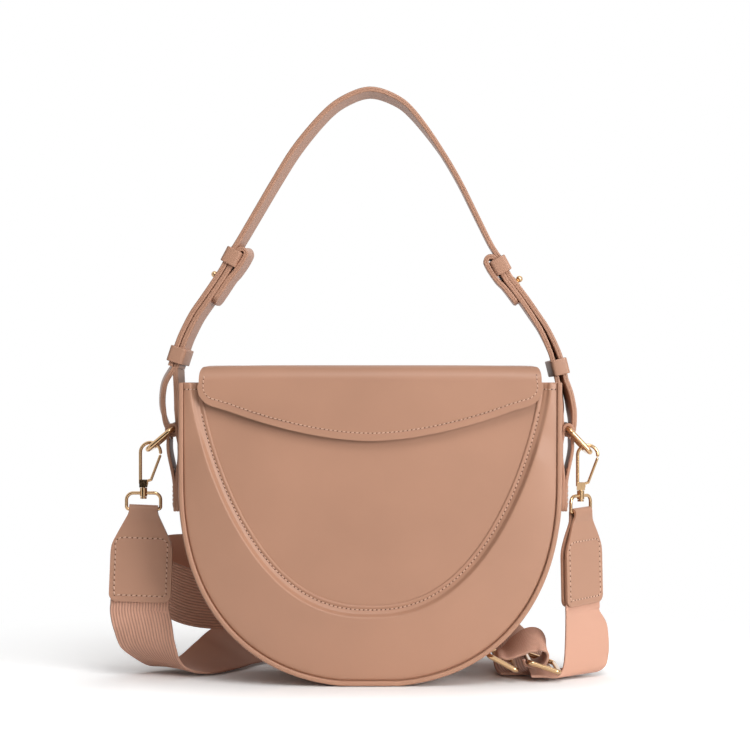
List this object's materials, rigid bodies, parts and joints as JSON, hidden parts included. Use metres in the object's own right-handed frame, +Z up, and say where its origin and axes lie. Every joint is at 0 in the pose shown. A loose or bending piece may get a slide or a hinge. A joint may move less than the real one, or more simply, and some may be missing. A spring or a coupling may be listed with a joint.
{
  "type": "saddle handbag",
  "caption": "Saddle handbag with a rounded base, a padded front band, a hinged front flap, a top handle on side rings and a detachable webbing strap on swivel snap hooks.",
  "frame": {"origin": "on the floor under the middle of the bag's base, midway between the front and back panels", "axes": "+X to the right seen from the front, front towards -Y, +Z up along the handle"},
  "size_m": [0.3238, 0.1519, 0.3803],
  "materials": {
    "tan_leather": "fine grain, satin",
    "cotton_webbing": "ribbed weave, matte",
    "dark_lining": "matte",
    "pale_gold": "pale gold, polished"
  },
  "bodies": {
    "bag": {"front_panel": "tan_leather", "front_band": "tan_leather", "front_rim": "tan_leather", "back_panel": "tan_leather", "back_rim": "tan_leather", "gusset": "tan_leather", "lining": "dark_lining", "snap_socket": "pale_gold", "flap_anchor": "tan_leather", "side_tab_left": "tan_leather", "side_tab_right": "tan_leather", "strap_end_left": "tan_leather", "strap_end_right": "tan_leather", "long_webbing": "cotton_webbing", "webbing_fold": "cotton_webbing", "short_webbing": "cotton_webbing", "strap_slider": "pale_gold", "strap_ring": "pale_gold"},
    "flap": {"flap_panel": "tan_leather", "flap_lining": "dark_lining", "snap_stud": "pale_gold"},
    "handle": {"handle_strap": "tan_leather", "handle_loop_left": "tan_leather", "handle_loop_right": "tan_leather", "handle_tail_left": "tan_leather", "handle_tail_right": "tan_leather", "upper_keeper_left": "tan_leather", "upper_keeper_right": "tan_leather", "strap_stud_left": "pale_gold", "strap_stud_right": "pale_gold"},
    "keeper_left": {"lower_keeper_left": "tan_leather"},
    "keeper_right": {"lower_keeper_right": "tan_leather"},
    "side_ring_left": {"ring_left": "pale_gold"},
    "side_ring_right": {"ring_right": "pale_gold"},
    "eye_left": {"swivel_eye_left": "pale_gold"},
    "eye_right": {"swivel_eye_right": "pale_gold"},
    "snap_left": {"hook_left": "pale_gold", "gate_pin_left": "pale_gold"},
    "snap_right": {"hook_right": "pale_gold", "gate_pin_right": "pale_gold"},
    "latch_left": {"gate_left": "pale_gold"},
    "latch_right": {"gate_right": "pale_gold"}
  },
  "joints": [
    {"name": "flap_open", "type": "hinge", "parent": "bag", "child": "flap", "pos_m": [0, 0.0365, 0.2006], "axis": [-1, 0, 0], "range_deg": [0, 110]},
    {"name": "handle_swing", "type": "hinge", "parent": "bag", "child": "handle", "pos_m": [0, 0, 0.1614], "axis": [-1, 0, 0], "range_deg": [0, 55], "deforming": ["handle_loop_left", "handle_loop_right"]},
    {"name": "keeper_left_slide", "type": "slide", "parent": "handle", "child": "keeper_left", "axis": [0.309, 0, 0.9511], "range_m": [-0.002, 0.002]},
    {"name": "keeper_right_slide", "type": "slide", "parent": "handle", "child": "keeper_right", "axis": [-0.2419, 0, 0.9703], "range_m": [-0.002, 0.002]},
    {"name": "ring_left_tilt", "type": "hinge", "parent": "bag", "child": "side_ring_left", "pos_m": [-0.127, 0, 0.1614], "axis": [0, -1, 0], "range_deg": [0, 4]},
    {"name": "ring_right_tilt", "type": "hinge", "parent": "bag", "child": "side_ring_right", "pos_m": [0.127, 0, 0.1614], "axis": [0, 1, 0], "range_deg": [0, 4]},
    {"name": "eye_left_tilt", "type": "hinge", "parent": "bag", "child": "eye_left", "pos_m": [-0.14682, 0, 0.10919], "axis": [1, 0, 0], "range_deg": [-4, 4]},
    {"name": "eye_right_tilt", "type": "hinge", "parent": "bag", "child": "eye_right", "pos_m": [0.13614, 0, 0.10742], "axis": [0.6428, 0.766, 0], "range_deg": [-3, 3]},
    {"name": "swivel_left", "type": "hinge", "parent": "eye_left", "child": "snap_left", "pos_m": [-0.14682, 0, 0.11979], "axis": [0, 0, 1], "range_deg": [-12, 12]},
    {"name": "swivel_right", "type": "hinge", "parent": "eye_right", "child": "snap_right", "pos_m": [0.13614, 0, 0.11802], "axis": [0, 0, 1], "range_deg": [-15, 15]},
    {"name": "gate_left_open", "type": "hinge", "parent": "snap_left", "child": "latch_left", "pos_m": [-0.14552, 0, 0.12579], "axis": [0, -1, 0], "range_deg": [0, 12], "stiffness_Nm_per_rad": 0.01, "springref_deg": -20.05},
    {"name": "gate_right_open", "type": "hinge", "parent": "snap_right", "child": "latch_right", "pos_m": [0.13744, 0, 0.12402], "axis": [0, -1, 0], "range_deg": [0, 12], "stiffness_Nm_per_rad": 0.01, "springref_deg": -20.05}
  ],
  "couplings": [
    {"joint": "handle_swing", "follows": "flap_open", "ratio": 0.5}
  ]
}
